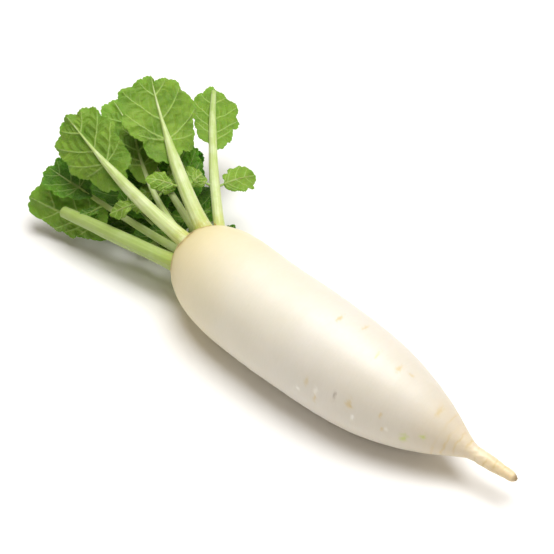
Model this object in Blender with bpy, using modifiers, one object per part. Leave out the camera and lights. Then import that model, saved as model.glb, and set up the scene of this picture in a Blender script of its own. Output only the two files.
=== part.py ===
"""Daikon radish with a trimmed leafy top, lying on its side.

Frame: metres, +Z up, +X along the root from its crown to the tip of its tail. The origin is
in the middle of the flat strip that the root rests on. The tables below are in millimetres.
"""
import bmesh
import bpy
import numpy as np

OBJECT_NAME = "daikon_radish"
MM = 0.001
GAP = 0.3                # clear space between pieces that touch, mm
SHEET = 0.8              # thickness of a leaf blade, mm
BLADE_CLEARANCE = 1.5    # from a midrib's skin to the middle of the blade along it, mm
LEAFLET_CLEARANCE = 2.4  # from a stalk's skin to where a leaflet's blade begins, mm

CROWN_X = -126.0         # x of the crown end of the root
SEAT_DEPTH = 30.0        # how much of the crown shapes the stalks' bases
ROOT_RINGS = 44
STALK_RINGS = 12
BLADE_CELLS = 10         # cells along each side of a blade's grid
LEAFLET_CELLS = 5
LEAFLET_WIDTH = 0.34     # half a leaflet's width, as a fraction of its length
STALK_BASE_X = -112.0    # x where each stalk starts, inside the crown
FOLD = 0.1               # how steeply a blade falls away on both sides of its midrib
CUP = 0.35               # how much it curls, mm at 10 mm from the midrib
WAVE = 1.0               # height of the waves near the rim of a blade of this reach, mm
WAVE_REACH = 40.0

# The root: lengths run from the crown, in mm.
ROOT_LENGTH = 290.0
BODY_RADIUS = 37.5
DOME = 75.0              # length of the rounded shoulder at the crown
WAIST = 95.0             # where the body starts to narrow towards the tail
POINT = 266.0            # where the body has narrowed down to the tail
TAIL_RADIUS = 3.0
SINK = 0.35              # how far the round body reaches below the table before it is cut level
CROWN_DROP = 9.0         # how much lower the axis is at the crown
TAIL_DROP = 16.0         # and at the tip of the tail
CROWN_BOW = 13.5         # how far the crown is bowed to +Y
TAIL_BOW = 17.5          # and the tail
SHOULDER_ROUNDNESS = 2.8  # 2 is an ellipse, and more is squarer
TAPER_ROUNDNESS = 3.5    # how long the body stays full before it narrows
CROWN_FLAT = 0.12        # how much of the dome's end the crown takes off, as an angle
CROWN_BEND = 60.0        # length over which the crown bends down
TAIL_BEND = 120.0        # where the tail starts to bend down
DROOP_CURVE = 1.3        # how late the tail bends down, and aside
SWEEP_CURVE = 1.7
BODY_Y = -0.7            # y of the middle of the body
TAPER_HOLLOW = 1.2       # above 1, the body's end curves in to meet the tail
TAIL_FLARE = 0.6         # how much wider the tail is where it leaves the body, as a fraction
FLARE_LENGTH = 16.0
TIP_SHARPNESS = 0.6      # how much narrower the tail is at its very tip, as a fraction
TIP_ROUNDING = 5.0       # length over which the tip of the tail rounds off
RIM_ROUNDNESS = 2.3      # of a blade's outer half, where 2 makes its outline an ellipse
BASE_ROUNDNESS = 1.6     # of the half nearer the crown, which narrows like a wedge
LOBES = 7                # lobes round a blade
LOBE_DEPTH = 0.06        # as a fraction of the blade's reach
STALK_TAPER = 1.8        # how late a stalk thins
LEAFLET_LEAN = 0.55      # how far a leaflet leans towards the leaf's tip
LEAFLET_DIP = 0.15       # and down from it
LEAFLET_ARCH = 1.5       # and how high its midrib arches, mm

# A leaf's stalk starts inside the crown at "base" (y, z), ends at "tip", and is bent aside in
# the middle by "bow". "thick" is its radius at the crown and at the tip, and "face" is the way
# its outer side looks. Its blade begins "start" mm along it, has its centre "centre" mm further
# on, and reaches ahead, behind, left and right of that by "reach". A leaflet is its place along
# the stalk as a fraction, its side (1 left, -1 right) and its length.
LEAVES = (
    {"name": "front_cut", "base": (-9, 37), "tip": (-228, -26, 30), "bow": (0, -1, 1),
     "thick": (5.7, 4.3), "face": (0.2, -0.5, 0.8)},
    {"name": "front_low", "base": (-1, 26), "tip": (-248, -28, 26), "bow": (0, 2, -3),
     "thick": (3.3, 0.7), "face": (0.2, -0.75, 0.6),
     "blade": {"start": 96, "centre": 22, "reach": (37, 36, 27, 14)}},
    {"name": "upper_left", "base": (1, 48), "tip": (-247, 0, 92), "bow": (0, -3, -3),
     "thick": (5.5, 0.7), "face": (0.2, -0.7, 0.65),
     "blade": {"start": 95, "centre": 24, "reach": (24, 46, 22, 25)},
     "leaflets": ((0.42, -1, 18),)},
    {"name": "top", "base": (13, 50), "tip": (-221, 58, 114), "bow": (0, -3, -7),
     "thick": (5.9, 0.7), "face": (0.6, 0.0, 0.8),
     "blade": {"start": 83, "centre": 28, "reach": (22, 44, 32, 28)},
     "leaflets": ((0.36, -1, 20), (0.36, 1, 14))},
    {"name": "right", "base": (25, 38), "tip": (-220, 118, 70), "bow": (0, -4, 4),
     "thick": (4.0, 2.0), "face": (0.4, -0.1, 0.8),
     "blade": {"start": 94, "centre": 32, "reach": (25, 38, 21, 15)},
     "leaflets": ((0.36, 1, 30), (0.36, -1, 22))},
    {"name": "middle", "base": (9, 37), "tip": (-226, 42, 77), "bow": (0, -10, -6),
     "thick": (2.8, 0.7), "face": (0.4, -0.4, 0.8),
     "blade": {"start": 90, "centre": 20, "reach": (18, 32, 18, 15)},
     "leaflets": ((0.5, 1, 18), (0.45, -1, 16))},
    {"name": "back", "base": (14, 34), "tip": (-251, 47, 79), "bow": (0, 2, -5),
     "thick": (2.9, 0.7), "face": (0.45, -0.3, 0.85),
     "blade": {"start": 96, "centre": 27, "reach": (31, 32, 22, 19)},
     "leaflets": ((0.5, 1, 18), (0.45, -1, 18))},
    {"name": "inner_left", "base": (7, 31), "tip": (-250, -14, 48), "bow": (0, 1, -4),
     "thick": (3.2, 0.6), "face": (0.1, 0.4, -0.9),
     "blade": {"start": 118, "centre": 14, "reach": (16, 26, 15, 15)},
     "leaflets": ((0.68, 1, 14), (0.55, -1, 22))},
    {"name": "inner_middle", "base": (13, 27), "tip": (-210, 38, 42), "bow": (0, -2, -5),
     "thick": (2.8, 0.7), "face": (0.2, 0.1, -1.0),
     "blade": {"start": 78, "centre": 18, "reach": (20, 30, 16, 15)},
     "leaflets": ((0.45, 1, 16),)},
    {"name": "inner_right", "base": (19, 29), "tip": (-196, 60, 52), "bow": (0, 0, -5),
     "thick": (2.8, 0.7), "face": (0.3, 0.1, -1.0),
     "blade": {"start": 70, "centre": 18, "reach": (20, 30, 16, 15)},
     "leaflets": ((0.45, -1, 14), (0.45, 1, 18))},
    {"name": "mid_left", "base": (11, 23), "tip": (-243, 24, 27), "bow": (0, 1, -4),
     "thick": (2.4, 0.7), "face": (0.0, 0.0, -1.0),
     "blade": {"start": 90, "centre": 24, "reach": (26, 38, 24, 22)},
     "leaflets": ((0.42, 1, 20), (0.36, -1, 15))},
    {"name": "mid_right", "base": (17.5, 22.5), "tip": (-229, 76, 37), "bow": (0, 0, -5),
     "thick": (2.4, 0.7), "face": (0.0, 0.0, -1.0),
     "blade": {"start": 86, "centre": 24, "reach": (26, 36, 22, 22)},
     "leaflets": ((0.42, -1, 18), (0.55, 1, 14))},
    {"name": "low_left", "base": (5, 18), "tip": (-232, 12, 4), "bow": (0, 7, -5),
     "thick": (3.3, 0.7), "face": (0.0, 0.0, -1.0),
     "blade": {"start": 88, "centre": 24, "reach": (24, 40, 14, 18)},
     "leaflets": ((0.58, -1, 13),)},
    {"name": "low_middle", "base": (14, 15), "tip": (-226, 54, 14), "bow": (0, 0, -5),
     "thick": (3.3, 0.7), "face": (0.0, 0.0, -1.0),
     "blade": {"start": 90, "centre": 22, "reach": (24, 40, 20, 20)},
     "leaflets": ((0.42, 1, 16), (0.45, -1, 14))},
    {"name": "low_right", "base": (23, 20), "tip": (-201, 78, 4), "bow": (0, 0, -5),
     "thick": (3.0, 0.7), "face": (0.0, 0.0, -1.0),
     "blade": {"start": 76, "centre": 20, "reach": (20, 32, 15, 17)},
     "leaflets": ((0.42, -1, 18),)},
)


def distances_along(rows):
    return np.concatenate(((0.0,), np.cumsum(np.linalg.norm(np.diff(rows, axis=0), axis=1))))


def smooth_through(knots, rows, places):
    """Rows read off the smooth curve that passes through the given rows at the knots."""
    slopes = np.gradient(rows, knots, axis=0)
    i = np.clip(np.searchsorted(knots, places, side="right") - 1, 0, len(knots) - 2)
    width = (knots[i + 1] - knots[i])[:, None]
    t = (places - knots[i])[:, None] / width
    return ((2 * t ** 3 - 3 * t ** 2 + 1) * rows[i] + (t ** 3 - 2 * t ** 2 + t) * width * slopes[i]
            + (3 * t ** 2 - 2 * t ** 3) * rows[i + 1] + (t ** 3 - t ** 2) * width * slopes[i + 1])


def curve_through(points, count):
    """Rows on a smooth curve through the given rows of x, y, z, radius, closer where they change."""
    rows = np.array(points, float)
    knots = distances_along(rows)
    dense = smooth_through(knots, rows, np.linspace(0.0, knots[-1], 400))
    run = distances_along(dense)
    even = np.linspace(0.0, run[-1], count)
    return np.column_stack([np.interp(even, run, column) for column in dense.T])


def unit(vectors):
    vectors = np.asarray(vectors, float)
    return vectors / np.linalg.norm(vectors, axis=-1, keepdims=True)


class Midline:
    """A leaf's centre line: place, direction and thickness at any distance along it, in mm."""

    def __init__(self, path, face):
        rows = curve_through(path, 60)
        self.run = distances_along(rows[:, :3])
        self.length = self.run[-1]
        self.rows = rows
        self.tangents = unit(np.gradient(rows[:, :3], axis=0))
        self.face = np.array(face, float)

    def at(self, distance):
        """Position, tangent, outward normal, sideways direction and radius."""
        distance = np.atleast_1d(np.asarray(distance, float))
        place = np.column_stack([np.interp(distance, self.run, c) for c in self.rows[:, :3].T])
        radius = np.interp(distance, self.run, self.rows[:, 3])
        tangent = unit(np.column_stack([np.interp(distance, self.run, c) for c in self.tangents.T]))
        beyond = distance - np.clip(distance, 0.0, self.length)
        place += tangent * beyond[:, None]
        normal = unit(self.face - tangent * (tangent @ self.face)[:, None])
        return place, tangent, normal, np.cross(tangent, normal), radius


def square_to_disc(points):
    """Polar coordinates of a square grid's points, spread so that its border is a circle."""
    x, y = points[:, 0], points[:, 1]
    reach = np.maximum(np.abs(x), np.abs(y))
    side = np.abs(x) >= np.abs(y)
    safe_x = np.where(x == 0, 1e-9, x)
    safe_y = np.where(y == 0, 1e-9, y)
    angle = np.where(side, np.pi / 4 * y / safe_x, np.pi / 2 - np.pi / 4 * x / safe_y)
    angle = angle + np.where(np.where(side, x, y) < 0, np.pi, 0.0)
    return reach, angle


def root_line(count):
    """Rows of x, y, z, radius along the root's axis: shoulder, body, point and thin tail."""
    s = ROOT_LENGTH * (1 - np.cos(np.linspace(CROWN_FLAT, np.pi, count))) / 2
    ahead = np.clip(1 - s / DOME, 0, 1)
    beyond = np.clip((s - WAIST) / (POINT - WAIST), 0, 1)
    body = BODY_RADIUS * (1 - ahead ** SHOULDER_ROUNDNESS) ** (1 / SHOULDER_ROUNDNESS)
    body *= (1 - beyond ** TAPER_ROUNDNESS) ** TAPER_HOLLOW
    tail = TAIL_RADIUS * (1 + TAIL_FLARE * np.exp(-((s - POINT) / FLARE_LENGTH) ** 2)) * (s > WAIST)
    tail *= 1 - TIP_SHARPNESS * np.clip(1 + (s - ROOT_LENGTH) / TIP_ROUNDING, 0, 1) ** 3
    radius = (body ** 3 + tail ** 3) ** (1 / 3)
    z = BODY_RADIUS - SINK - CROWN_DROP * np.clip(1 - s / CROWN_BEND, 0, 1) ** 2
    z -= TAIL_DROP * (np.clip(s - TAIL_BEND, 0, None) / (ROOT_LENGTH - TAIL_BEND)) ** DROOP_CURVE
    y = BODY_Y + CROWN_BOW * np.clip(1 - s / WAIST, 0, 1) ** 2
    y += TAIL_BOW * (np.clip(s - WAIST, 0, None) / (ROOT_LENGTH - WAIST)) ** SWEEP_CURVE
    return np.column_stack([s + CROWN_X, y, z, radius])


def stalk_line(leaf, count=9):
    """Rows of x, y, z, radius along a stalk, from inside the crown to its tip."""
    base, tip = np.array((STALK_BASE_X, *leaf["base"]), float), np.array(leaf["tip"], float)
    middle = (base + tip) / 2 + 2 * np.array(leaf["bow"], float)
    t = np.linspace(0, 1, count)[:, None]
    thick, thin = leaf["thick"]
    radius = thin + (thick - thin) * (1 - t ** STALK_TAPER)
    return np.hstack([(1 - t) ** 2 * base + 2 * t * (1 - t) * middle + t ** 2 * tip, radius])


def rim_distance(blade, angle):
    """Distance from a blade's centre to its gently lobed rim at each angle."""
    ahead, behind, left, right = blade["reach"]
    along, across = np.cos(angle), np.sin(angle)
    long, wide = np.where(along > 0, ahead, behind), np.where(across > 0, left, right)
    power = np.where(along > 0, RIM_ROUNDNESS, BASE_ROUNDNESS)
    oval = (np.abs(along) / long) ** power + (np.abs(across) / wide) ** power
    return oval ** (-1 / power) * (1 + LOBE_DEPTH * np.cos(LOBES * angle + blade["start"]))


def leaflet_parts(leaf_midline, leaflet):
    """A leaflet's midline, from the side of the stalk to its tip, and its blade."""
    at, side, length = leaflet
    centre, tangent, normal, sideways, radius = (row[0] for row in leaf_midline.at(at * leaf_midline.length))
    base = centre + sideways * side * (radius + LEAFLET_CLEARANCE)
    tip = base + length * unit(sideways * side + LEAFLET_LEAN * tangent - LEAFLET_DIP * normal)
    middle = (base + tip) / 2 + normal * LEAFLET_ARCH
    midline = Midline([(*base, 0.0), (*middle, 0.0), (*tip, 0.0)], leaf_midline.face)
    half = midline.length / 2
    blade = {"start": 0, "centre": half,
             "reach": (half, half, LEAFLET_WIDTH * length, LEAFLET_WIDTH * length)}
    return midline, blade


def blade_points(midline, blade, reach, angle):
    """The blade's surface: it lies on the inner side of the midrib and waves near its rim."""
    spread = reach * rim_distance(blade, angle)
    along = blade["centre"] + spread * np.cos(angle)
    across = spread * np.sin(angle)
    place, _, normal, sideways, radius = midline.at(blade["start"] + along)
    depth = radius + BLADE_CLEARANCE + FOLD * np.abs(across) + CUP * (across / 10) ** 2
    depth += WAVE * blade["reach"][0] / WAVE_REACH * reach ** 3 * np.sin(5 * angle + blade["start"])
    return place + sideways * across[:, None] - normal * depth[:, None]


def material(name, colour, roughness):
    """A plain Principled material, made once."""
    found = bpy.data.materials.get(name)
    if found:
        return found
    made = bpy.data.materials.new(name)
    made.use_nodes = True
    shader = made.node_tree.nodes["Principled BSDF"]
    shader.inputs["Base Color"].default_value = (*colour, 1.0)
    shader.inputs["Roughness"].default_value = roughness
    shader.inputs["Metallic"].default_value = 0.0
    return made


def root_skin():
    return material("root_skin", (0.86, 0.80, 0.62), 0.42)


def stalk_skin():
    return material("leaf_stalk", (0.50, 0.62, 0.22), 0.45)


def blade_skin():
    return material("leaf_blade", (0.12, 0.30, 0.04), 0.5)


def add_object(name, data, collection, skin):
    piece = bpy.data.objects.new(name, data)
    piece.data.materials.append(skin)
    collection.objects.link(piece)
    return piece


def tube_object(name, rows, sides_step, collection, skin):
    """A round tube along rows of x, y, z, radius in mm, as a closed mesh."""
    curve = bpy.data.curves.new(name, "CURVE")
    curve.dimensions = "3D"
    curve.bevel_depth = MM
    curve.bevel_resolution = sides_step
    curve.use_fill_caps = True
    spline = curve.splines.new("POLY")
    spline.points.add(len(rows) - 1)
    for point, (x, y, z, radius) in zip(spline.points, rows):
        point.co = (x * MM, y * MM, z * MM, 1.0)
        point.radius = radius
    guide = bpy.data.objects.new(name + "_guide", curve)
    collection.objects.link(guide)
    bpy.context.view_layer.update()
    depsgraph = bpy.context.evaluated_depsgraph_get()
    mesh = bpy.data.meshes.new_from_object(guide.evaluated_get(depsgraph))
    matrix = guide.matrix_world.copy()
    bpy.data.objects.remove(guide)
    welded = bmesh.new()
    welded.from_mesh(mesh)
    bmesh.ops.remove_doubles(welded, verts=welded.verts, dist=0.00001)
    bmesh.ops.recalc_face_normals(welded, faces=welded.faces)
    welded.to_mesh(mesh)
    welded.free()
    mesh.name = name
    mesh.materials.clear()
    piece = add_object(name, mesh, collection, skin)
    piece.matrix_world = matrix
    mesh.shade_smooth()
    return piece


def root_rows(grow=0.0):
    """Rows along the root; grow makes it fatter and moves it outwards at the crown."""
    rows = root_line(ROOT_RINGS)
    rows[:, 3] += grow
    rows[:, 0] -= grow
    return rows


def make_root(collection):
    """The swollen root, cut level where its weight flattens it against the table."""
    root = tube_object("taproot", root_rows(), 8, collection, root_skin())
    level = bmesh.new()
    level.from_mesh(root.data)
    edges = level.verts[:] + level.edges[:] + level.faces[:]
    cut = bmesh.ops.bisect_plane(level, geom=edges, plane_co=(0, 0, 0), plane_no=(0, 0, 1), clear_inner=True)
    border = [item for item in cut["geom_cut"] if isinstance(item, bmesh.types.BMEdge)]
    bmesh.ops.edgeloop_fill(level, edges=border)
    level.to_mesh(root.data)
    level.free()
    return root


def make_crown_cutter(collection):
    """The crown grown by the gap, which gives each stalk's base its seat."""
    rows = [row for row in root_rows(GAP) if row[0] < CROWN_X + SEAT_DEPTH]
    cutter = tube_object("crown_cutter", rows, 8, collection, root_skin())
    cutter.hide_render = True
    cutter.display_type = "WIRE"
    return cutter


def make_stalk(leaf, cutter, collection):
    rows = curve_through(stalk_line(leaf), STALK_RINGS)
    stalk = tube_object(leaf["name"] + "_stalk", rows, 2, collection, stalk_skin())
    seat = stalk.modifiers.new("seat", "BOOLEAN")
    seat.operation = "DIFFERENCE"
    seat.solver = "EXACT"
    seat.object = cutter
    return stalk


def make_blade(name, midline, blade, cells, collection):
    """A blade: a grid stretched over the outline and made solid."""
    grid = bmesh.new()
    bmesh.ops.create_grid(grid, x_segments=cells, y_segments=cells, size=1.0)
    flat = np.array([vertex.co[:] for vertex in grid.verts])
    reach, angle = square_to_disc(flat)
    for vertex, point in zip(grid.verts, blade_points(midline, blade, reach, angle) * MM):
        vertex.co = point
    mesh = bpy.data.meshes.new(name)
    grid.to_mesh(mesh)
    grid.free()
    mesh.shade_smooth()
    piece = add_object(name, mesh, collection, blade_skin())
    body = piece.modifiers.new("body", "SOLIDIFY")
    body.thickness = SHEET * MM
    body.offset = 0.0
    return piece


def make_leaf(leaf, cutter, collection):
    make_stalk(leaf, cutter, collection)
    midline = Midline(stalk_line(leaf), leaf["face"])
    if "blade" in leaf:
        make_blade(leaf["name"] + "_blade", midline, leaf["blade"], BLADE_CELLS, collection)
    for number, leaflet in enumerate(leaf.get("leaflets", ()), 1):
        own, blade = leaflet_parts(midline, leaflet)
        make_blade(f"{leaf['name']}_leaflet_{number}", own, blade, LEAFLET_CELLS, collection)


def main():
    for old in list(bpy.data.objects):
        bpy.data.objects.remove(old)
    parts = bpy.data.collections.new(OBJECT_NAME)
    cutters = bpy.data.collections.new("cutters")
    bpy.context.scene.collection.children.link(parts)
    bpy.context.scene.collection.children.link(cutters)
    make_root(parts)
    cutter = make_crown_cutter(cutters)
    for leaf in LEAVES:
        make_leaf(leaf, cutter, parts)


main()
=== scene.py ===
"""Daikon radish with a trimmed leafy top: its skins, their colours and their relief.

Dimensions are in millimetres. +X runs along the root from its crown to its tail, and the origin
is under its middle on the table. The skins keep the shapes and places of the part's solids.
"""
import math

import bpy
import numpy as np
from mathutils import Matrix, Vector


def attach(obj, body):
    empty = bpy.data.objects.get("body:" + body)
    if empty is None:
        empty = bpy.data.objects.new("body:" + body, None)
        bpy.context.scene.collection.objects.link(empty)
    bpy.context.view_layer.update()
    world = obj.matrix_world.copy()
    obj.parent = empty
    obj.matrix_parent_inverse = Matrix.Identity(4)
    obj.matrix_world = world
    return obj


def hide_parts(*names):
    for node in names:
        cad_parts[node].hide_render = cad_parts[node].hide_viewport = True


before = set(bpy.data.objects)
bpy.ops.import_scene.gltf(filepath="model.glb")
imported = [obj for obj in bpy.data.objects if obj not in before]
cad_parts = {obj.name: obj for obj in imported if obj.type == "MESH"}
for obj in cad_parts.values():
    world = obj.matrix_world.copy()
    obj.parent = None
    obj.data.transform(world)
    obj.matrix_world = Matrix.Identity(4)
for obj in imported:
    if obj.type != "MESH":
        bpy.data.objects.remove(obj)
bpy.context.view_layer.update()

MM = 0.001
CROWN_X = -126.0         # x of the crown end of the root
ROOT_RINGS = 440
ROOT_SIDES = 220
STALK_RINGS = 190
STALK_SIDES = 44
BLADE_CELLS = 136        # cells along each side of a blade's grid
LEAFLET_CELLS = 58
LEAFLET_CLEARANCE = 2.4  # from a stalk's skin to where a leaflet's blade begins, mm
LEAFLET_WIDTH = 0.34     # half a leaflet's width, as a fraction of its length
STALK_BASE_X = -112.0    # x where each stalk starts, inside the crown
FOLD = 0.1               # how steeply a blade falls away on both sides of its midrib
CUP = 0.35               # how much it curls, mm at 10 mm from the midrib
WAVE = 1.0               # height of the waves near the rim of a blade of this reach, mm
WAVE_REACH = 40.0
VEIN_REACH = 0.93        # how far side veins run towards the rim, as a fraction
VEIN_ANGLES = (28, 58, 95, 135)  # between side veins and the midrib, in degrees
VEIN_FORKS = (0.22, 0.36, 0.5, 0.64, 0.78, 0.9)  # where finer veins leave a side vein
LEAFLET_CURL = 1.3       # how far a leaflet's rim curls in and out, mm
STALK_ROOTING = 2.0      # how far a stalk's skin goes on inside the crown, mm
BASE_FLARE = 0.4         # how much thicker a stalk is outwards where it leaves the crown, as a fraction
CROWN_STAIN = 40.0       # how much of the crown can be stained by the stalks
CROWN_END_RADIUS = 10.0  # of the skin that closes the end of the crown, mm
STALK_STATIONS = 120     # places along a stalk where its distance from the crown is taken
NEAR_STATIONS = 50       # and how many of them, from its base, are near the crown
SCARS_BETWEEN = (145.0, 226.0)  # where side-root scars lie along the root, mm
RINGS_FROM = 238.0       # where the rings of the tail begin, mm
RING_GAP = 6.0
SCALES = 26              # dry scales round the crown
SCALES_AT = 12.0         # and how far from the end of the crown they stand, mm

# The root: lengths run from the crown, in mm.
ROOT_LENGTH = 290.0
BODY_RADIUS = 37.5
DOME = 75.0              # length of the rounded shoulder at the crown
WAIST = 95.0             # where the body starts to narrow towards the tail
POINT = 266.0            # where the body has narrowed down to the tail
TAIL_RADIUS = 3.0
SINK = 0.35              # how far the round body reaches below the table before it is cut level
CROWN_DROP = 9.0         # how much lower the axis is at the crown
TAIL_DROP = 16.0         # and at the tip of the tail
CROWN_BOW = 13.5         # how far the crown is bowed to +Y
TAIL_BOW = 17.5          # and the tail
SHOULDER_ROUNDNESS = 2.8  # 2 is an ellipse, and more is squarer
TAPER_ROUNDNESS = 3.5    # how long the body stays full before it narrows
CROWN_FLAT = 0.12        # how much of the dome's end the crown takes off, as an angle
CROWN_BEND = 60.0        # length over which the crown bends down
TAIL_BEND = 120.0        # where the tail starts to bend down
DROOP_CURVE = 1.3        # how late the tail bends down, and aside
SWEEP_CURVE = 1.7
BODY_Y = -0.7            # y of the middle of the body
TAPER_HOLLOW = 1.2       # above 1, the body's end curves in to meet the tail
TAIL_FLARE = 0.6         # how much wider the tail is where it leaves the body, as a fraction
FLARE_LENGTH = 16.0
TIP_SHARPNESS = 0.6      # how much narrower the tail is at its very tip, as a fraction
TIP_ROUNDING = 5.0       # length over which the tip of the tail rounds off
RIM_ROUNDNESS = 2.3      # of a blade's outer half, where 2 makes its outline an ellipse
BASE_ROUNDNESS = 1.6     # of the half nearer the crown, which narrows like a wedge
LOBES = 7                # lobes round a blade
LOBE_DEPTH = 0.06        # as a fraction of the blade's reach
STALK_TAPER = 1.8        # how late a stalk thins
LEAFLET_LEAN = 0.55      # how far a leaflet leans towards the leaf's tip
LEAFLET_DIP = 0.15       # and down from it
LEAFLET_ARCH = 1.5       # and how high its midrib arches, mm

# A leaf's stalk starts inside the crown at "base" (y, z), ends at "tip", and is bent aside in
# the middle by "bow". "thick" is its radius at the crown and at the tip, and "face" is the way
# its outer side looks. Its blade begins "start" mm along it, has its centre "centre" mm further
# on, and reaches ahead, behind, left and right of that by "reach". A leaflet is its place along
# the stalk as a fraction, its side (1 left, -1 right) and its length.
LEAVES = (
    {"name": "front_cut", "base": (-9, 37), "tip": (-228, -26, 30), "bow": (0, -1, 1),
     "thick": (5.7, 4.3), "face": (0.2, -0.5, 0.8)},
    {"name": "front_low", "base": (-1, 26), "tip": (-248, -28, 26), "bow": (0, 2, -3),
     "thick": (3.3, 0.7), "face": (0.2, -0.75, 0.6),
     "blade": {"start": 96, "centre": 22, "reach": (37, 36, 27, 14)}},
    {"name": "upper_left", "base": (1, 48), "tip": (-247, 0, 92), "bow": (0, -3, -3),
     "thick": (5.5, 0.7), "face": (0.2, -0.7, 0.65),
     "blade": {"start": 95, "centre": 24, "reach": (24, 46, 22, 25)},
     "leaflets": ((0.42, -1, 18),)},
    {"name": "top", "base": (13, 50), "tip": (-221, 58, 114), "bow": (0, -3, -7),
     "thick": (5.9, 0.7), "face": (0.6, 0.0, 0.8),
     "blade": {"start": 83, "centre": 28, "reach": (22, 44, 32, 28)},
     "leaflets": ((0.36, -1, 20), (0.36, 1, 14))},
    {"name": "right", "base": (25, 38), "tip": (-220, 118, 70), "bow": (0, -4, 4),
     "thick": (4.0, 2.0), "face": (0.4, -0.1, 0.8),
     "blade": {"start": 94, "centre": 32, "reach": (25, 38, 21, 15)},
     "leaflets": ((0.36, 1, 30), (0.36, -1, 22))},
    {"name": "middle", "base": (9, 37), "tip": (-226, 42, 77), "bow": (0, -10, -6),
     "thick": (2.8, 0.7), "face": (0.4, -0.4, 0.8),
     "blade": {"start": 90, "centre": 20, "reach": (18, 32, 18, 15)},
     "leaflets": ((0.5, 1, 18), (0.45, -1, 16))},
    {"name": "back", "base": (14, 34), "tip": (-251, 47, 79), "bow": (0, 2, -5),
     "thick": (2.9, 0.7), "face": (0.45, -0.3, 0.85),
     "blade": {"start": 96, "centre": 27, "reach": (31, 32, 22, 19)},
     "leaflets": ((0.5, 1, 18), (0.45, -1, 18))},
    {"name": "inner_left", "base": (7, 31), "tip": (-250, -14, 48), "bow": (0, 1, -4),
     "thick": (3.2, 0.6), "face": (0.1, 0.4, -0.9),
     "blade": {"start": 118, "centre": 14, "reach": (16, 26, 15, 15)},
     "leaflets": ((0.68, 1, 14), (0.55, -1, 22))},
    {"name": "inner_middle", "base": (13, 27), "tip": (-210, 38, 42), "bow": (0, -2, -5),
     "thick": (2.8, 0.7), "face": (0.2, 0.1, -1.0),
     "blade": {"start": 78, "centre": 18, "reach": (20, 30, 16, 15)},
     "leaflets": ((0.45, 1, 16),)},
    {"name": "inner_right", "base": (19, 29), "tip": (-196, 60, 52), "bow": (0, 0, -5),
     "thick": (2.8, 0.7), "face": (0.3, 0.1, -1.0),
     "blade": {"start": 70, "centre": 18, "reach": (20, 30, 16, 15)},
     "leaflets": ((0.45, -1, 14), (0.45, 1, 18))},
    {"name": "mid_left", "base": (11, 23), "tip": (-243, 24, 27), "bow": (0, 1, -4),
     "thick": (2.4, 0.7), "face": (0.0, 0.0, -1.0),
     "blade": {"start": 90, "centre": 24, "reach": (26, 38, 24, 22)},
     "leaflets": ((0.42, 1, 20), (0.36, -1, 15))},
    {"name": "mid_right", "base": (17.5, 22.5), "tip": (-229, 76, 37), "bow": (0, 0, -5),
     "thick": (2.4, 0.7), "face": (0.0, 0.0, -1.0),
     "blade": {"start": 86, "centre": 24, "reach": (26, 36, 22, 22)},
     "leaflets": ((0.42, -1, 18), (0.55, 1, 14))},
    {"name": "low_left", "base": (5, 18), "tip": (-232, 12, 4), "bow": (0, 7, -5),
     "thick": (3.3, 0.7), "face": (0.0, 0.0, -1.0),
     "blade": {"start": 88, "centre": 24, "reach": (24, 40, 14, 18)},
     "leaflets": ((0.58, -1, 13),)},
    {"name": "low_middle", "base": (14, 15), "tip": (-226, 54, 14), "bow": (0, 0, -5),
     "thick": (3.3, 0.7), "face": (0.0, 0.0, -1.0),
     "blade": {"start": 90, "centre": 22, "reach": (24, 40, 20, 20)},
     "leaflets": ((0.42, 1, 16), (0.45, -1, 14))},
    {"name": "low_right", "base": (23, 20), "tip": (-201, 78, 4), "bow": (0, 0, -5),
     "thick": (3.0, 0.7), "face": (0.0, 0.0, -1.0),
     "blade": {"start": 76, "centre": 20, "reach": (20, 32, 15, 17)},
     "leaflets": ((0.42, -1, 18),)},
)


def distances_along(rows):
    return np.concatenate(((0.0,), np.cumsum(np.linalg.norm(np.diff(rows, axis=0), axis=1))))


def smooth_through(knots, rows, places):
    """Rows read off the smooth curve that passes through the given rows at the knots."""
    slopes = np.gradient(rows, knots, axis=0)
    i = np.clip(np.searchsorted(knots, places, side="right") - 1, 0, len(knots) - 2)
    width = (knots[i + 1] - knots[i])[:, None]
    t = (places - knots[i])[:, None] / width
    return ((2 * t ** 3 - 3 * t ** 2 + 1) * rows[i] + (t ** 3 - 2 * t ** 2 + t) * width * slopes[i]
            + (3 * t ** 2 - 2 * t ** 3) * rows[i + 1] + (t ** 3 - t ** 2) * width * slopes[i + 1])


def curve_through(points, count):
    """Rows on a smooth curve through the given rows of x, y, z, radius, closer where they change."""
    rows = np.array(points, float)
    knots = distances_along(rows)
    dense = smooth_through(knots, rows, np.linspace(0.0, knots[-1], 400))
    run = distances_along(dense)
    even = np.linspace(0.0, run[-1], count)
    return np.column_stack([np.interp(even, run, column) for column in dense.T])


def unit(vectors):
    vectors = np.asarray(vectors, float)
    return vectors / np.linalg.norm(vectors, axis=-1, keepdims=True)


class Midline:
    """A leaf's centre line: place, direction and thickness at any distance along it, in mm."""

    def __init__(self, path, face):
        rows = curve_through(path, 60)
        self.run = distances_along(rows[:, :3])
        self.length = self.run[-1]
        self.rows = rows
        self.tangents = unit(np.gradient(rows[:, :3], axis=0))
        self.face = np.array(face, float)

    def at(self, distance):
        """Position, tangent, outward normal, sideways direction and radius."""
        distance = np.atleast_1d(np.asarray(distance, float))
        place = np.column_stack([np.interp(distance, self.run, c) for c in self.rows[:, :3].T])
        radius = np.interp(distance, self.run, self.rows[:, 3])
        tangent = unit(np.column_stack([np.interp(distance, self.run, c) for c in self.tangents.T]))
        beyond = distance - np.clip(distance, 0.0, self.length)
        place += tangent * beyond[:, None]
        normal = unit(self.face - tangent * (tangent @ self.face)[:, None])
        return place, tangent, normal, np.cross(tangent, normal), radius


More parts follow.
